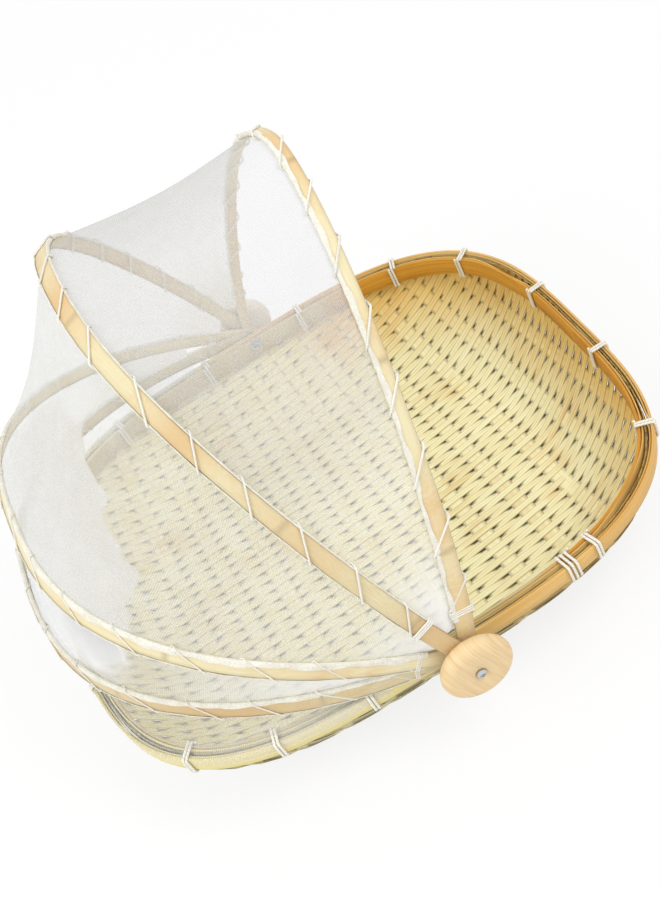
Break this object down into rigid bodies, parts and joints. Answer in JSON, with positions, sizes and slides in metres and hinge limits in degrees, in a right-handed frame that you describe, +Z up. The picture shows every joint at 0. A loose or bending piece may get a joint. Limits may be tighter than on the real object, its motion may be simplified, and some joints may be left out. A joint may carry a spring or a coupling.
{
  "type": "bamboo basket with mesh cover",
  "caption": "Shallow woven bamboo tray basket with a folding white gauze cover on bent bamboo hoops that fan out from two wooden knobs.",
  "frame": {"origin": "middle of the basket's flat underside, on the surface that it stands on", "axes": "+X towards the end that the cover opens, +Y towards the far side of the picture, +Z up. The hoops turn about a line along Y."},
  "size_m": [0.3666, 0.3566, 0.2789],
  "materials": {
    "bamboo_weave": "raw woven bamboo splints, satin",
    "bamboo_band": "bent bamboo strip, satin, orange tan",
    "bamboo_hoop": "bent bamboo strip, satin, pale tan",
    "cord": "white cotton cord and thread",
    "gauze": "white open gauze",
    "turned_wood": "turned, unpainted, satin",
    "steel": "zinc plated"
  },
  "bodies": {
    "basket": {"basket_body": "bamboo_weave", "rim_outer_band": "bamboo_band", "rim_inner_band": "bamboo_band", "rim_tie_1": "cord", "rim_tie_2": "cord", "rim_tie_3": "cord", "rim_tie_4": "cord", "rim_tie_5": "cord", "rim_tie_6": "cord", "rim_tie_7": "cord", "rim_tie_8": "cord", "rim_tie_9": "cord", "rim_tie_10": "cord", "rim_tie_11": "cord", "rim_tie_12": "cord", "rim_tie_13": "cord", "rim_tie_14": "cord", "rim_tie_15": "cord", "rim_tie_16": "cord", "far_knob": "turned_wood", "far_screw": "steel", "far_spacer_washer": "steel", "far_nut_washer": "steel", "far_nut": "steel", "near_knob": "turned_wood", "near_screw": "steel", "near_spacer_washer": "steel", "near_nut_washer": "steel", "near_nut": "steel"},
    "hoop_d_body": {"hoop_d": "bamboo_hoop", "hoop_d_stitching": "cord", "gauze_skirt": "gauze"},
    "hoop_c_body": {"hoop_c": "bamboo_hoop", "hoop_c_stitching": "cord", "gauze_rear_panel": "gauze"},
    "hoop_b_body": {"hoop_b": "bamboo_hoop", "hoop_b_stitching": "cord", "gauze_middle_panel": "gauze"},
    "hoop_a_body": {"hoop_a": "bamboo_hoop", "hoop_a_stitching": "cord", "gauze_front_panel": "gauze"}
  },
  "joints": [
    {"name": "hoop_d_fold", "type": "hinge", "parent": "basket", "child": "hoop_d_body", "pos_m": [0.0095, 0, 0.0565], "axis": [0, 1, 0], "range_deg": [-2, 16.8], "deforming": ["gauze_skirt"]},
    {"name": "hoop_c_fold", "type": "hinge", "parent": "hoop_d_body", "child": "hoop_c_body", "pos_m": [0.0095, 0, 0.0565], "axis": [0, 1, 0], "range_deg": [-5.3, 29.2], "deforming": ["gauze_rear_panel"]},
    {"name": "hoop_b_fold", "type": "hinge", "parent": "hoop_c_body", "child": "hoop_b_body", "pos_m": [0.0095, 0, 0.0565], "axis": [0, 1, 0], "range_deg": [-25, 7.8], "deforming": ["gauze_middle_panel"]},
    {"name": "hoop_a_fold", "type": "hinge", "parent": "hoop_b_body", "child": "hoop_a_body", "pos_m": [0.0095, 0, 0.0565], "axis": [0, 1, 0], "range_deg": [-20.5, 12.9], "deforming": ["gauze_front_panel"]}
  ]
}
